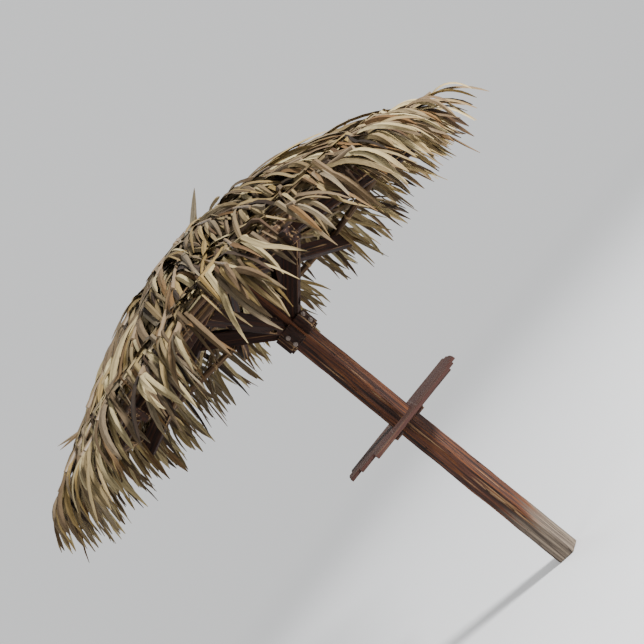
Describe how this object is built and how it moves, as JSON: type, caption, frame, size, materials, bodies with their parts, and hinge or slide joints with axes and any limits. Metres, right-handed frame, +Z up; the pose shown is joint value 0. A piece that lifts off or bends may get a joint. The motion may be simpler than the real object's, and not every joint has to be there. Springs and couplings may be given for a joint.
{
  "type": "thatched beach parasol",
  "caption": "Thatched beach parasol: a square timber post with corner braces carries a dome of dried palm fronds, with a plank table round the post.",
  "frame": {"origin": "the middle of the post's square foot, at the sand line", "axes": "+Z up the post; the viewer stands on -Y looking along +Y, and +X is to the viewer's right, the side where the canopy leans down. The post is turned 31 degrees about Z."},
  "size_m": [3.3554, 3.26, 2.8295],
  "materials": {
    "stained_post_timber": "red-brown stain worn to grey near the sand",
    "stained_frame_timber": "dark red-brown stain, dull",
    "weathered_table_planks": "stain worn through to grey-tan wood",
    "purlin_poles": "peeled round poles, dry",
    "dried_palm_leaf": "dry, straw to grey-brown",
    "frond_butts": "dry grey leaf bases",
    "sisal_twine": "coarse twisted fibre",
    "galvanised_steel": "dull zinc"
  },
  "bodies": {
    "root": {"post": "stained_post_timber", "cap_board": "stained_frame_timber", "crown_knot": "frond_butts", "spike_leaf": "dried_palm_leaf", "twine_lashings": "sisal_twine", "hub_cleat_right": "stained_frame_timber", "hub_cleat_back": "stained_frame_timber", "hub_cleat_left": "stained_frame_timber", "hub_cleat_front": "stained_frame_timber", "brace_right": "stained_frame_timber", "brace_back": "stained_frame_timber", "brace_left": "stained_frame_timber", "brace_front": "stained_frame_timber", "main_rafter_right": "stained_frame_timber", "main_rafter_back": "stained_frame_timber", "main_rafter_left": "stained_frame_timber", "main_rafter_front": "stained_frame_timber", "hip_rafter_back_right": "stained_frame_timber", "hip_rafter_back_left": "stained_frame_timber", "hip_rafter_front_left": "stained_frame_timber", "hip_rafter_front_right": "stained_frame_timber", "outer_purlin_1": "purlin_poles", "outer_purlin_2": "purlin_poles", "outer_purlin_3": "purlin_poles", "outer_purlin_4": "purlin_poles", "outer_purlin_5": "purlin_poles", "outer_purlin_6": "purlin_poles", "outer_purlin_7": "purlin_poles", "outer_purlin_8": "purlin_poles", "inner_purlin_1": "purlin_poles", "inner_purlin_2": "purlin_poles", "inner_purlin_3": "purlin_poles", "inner_purlin_4": "purlin_poles", "inner_purlin_5": "purlin_poles", "inner_purlin_6": "purlin_poles", "inner_purlin_7": "purlin_poles", "inner_purlin_8": "purlin_poles", "frond_bundle_1": "dried_palm_leaf", "frond_bundle_2": "dried_palm_leaf", "frond_bundle_3": "dried_palm_leaf", "frond_bundle_4": "dried_palm_leaf", "frond_bundle_5": "dried_palm_leaf", "frond_bundle_6": "dried_palm_leaf", "frond_bundle_7": "dried_palm_leaf", "frond_bundle_8": "dried_palm_leaf", "table_bearer_left": "stained_frame_timber", "table_bearer_right": "stained_frame_timber", "table_board_1": "weathered_table_planks", "table_board_2": "weathered_table_planks", "table_board_3": "weathered_table_planks", "table_board_4": "weathered_table_planks", "table_board_5": "weathered_table_planks", "table_board_6": "weathered_table_planks", "cleat_bolts": "galvanised_steel", "brace_screws": "galvanised_steel", "clamp_bolts": "galvanised_steel", "board_screws": "galvanised_steel", "frame_nails": "galvanised_steel"}
  },
  "joints": []
}
